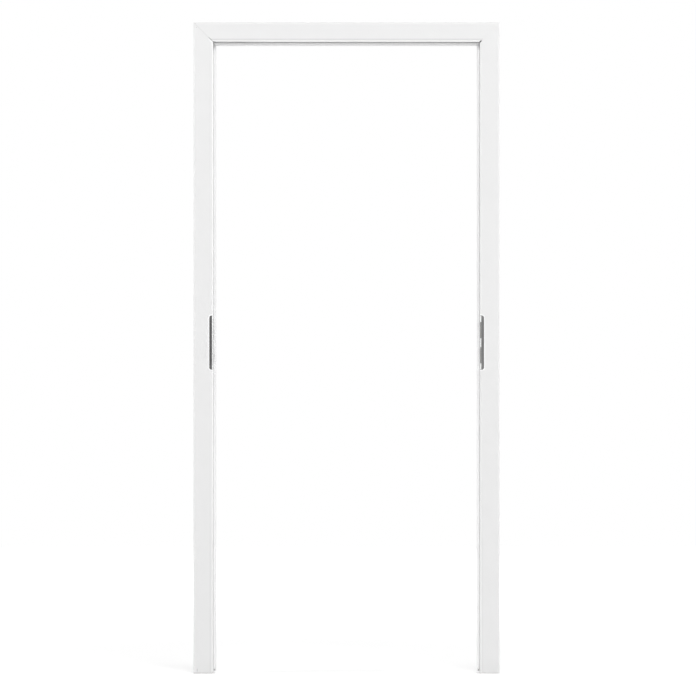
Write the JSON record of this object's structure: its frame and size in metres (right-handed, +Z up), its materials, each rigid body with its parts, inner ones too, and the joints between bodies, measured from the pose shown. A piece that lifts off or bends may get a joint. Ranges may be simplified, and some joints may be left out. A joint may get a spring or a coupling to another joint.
{
  "type": "block door frame",
  "caption": "White three-sided block door frame with mitred corners, rebate, stop strips, seals and an angled strike plate on each jamb.",
  "frame": {"origin": "on the wall side of the left jamb, at floor level and mid depth", "axes": "+X from the left jamb to the right one, +Y from the front face to the back, +Z up"},
  "size_m": [0.965, 0.1, 2.052],
  "materials": {
    "white_lacquer": "smooth satin white coating",
    "seal_rubber": "matt off-white",
    "strike_steel": "brushed, dark",
    "box_plastic": "matt dark grey",
    "foot_plastic": "matt grey",
    "zinc_steel": "zinc plated"
  },
  "bodies": {
    "root": {"left_jamb": "white_lacquer", "right_jamb": "white_lacquer", "head": "white_lacquer", "left_stop": "white_lacquer", "right_stop": "white_lacquer", "head_stop": "white_lacquer", "left_seal": "seal_rubber", "right_seal": "seal_rubber", "head_seal": "seal_rubber", "left_strike_plate": "strike_steel", "right_strike_plate": "strike_steel", "left_latch_box": "box_plastic", "right_latch_box": "box_plastic", "left_bolt_box": "box_plastic", "right_bolt_box": "box_plastic", "left_foot": "foot_plastic", "right_foot": "foot_plastic", "left_corner_bolts": "zinc_steel", "right_corner_bolts": "zinc_steel", "left_barrel_nuts": "zinc_steel", "right_barrel_nuts": "zinc_steel"}
  },
  "joints": []
}
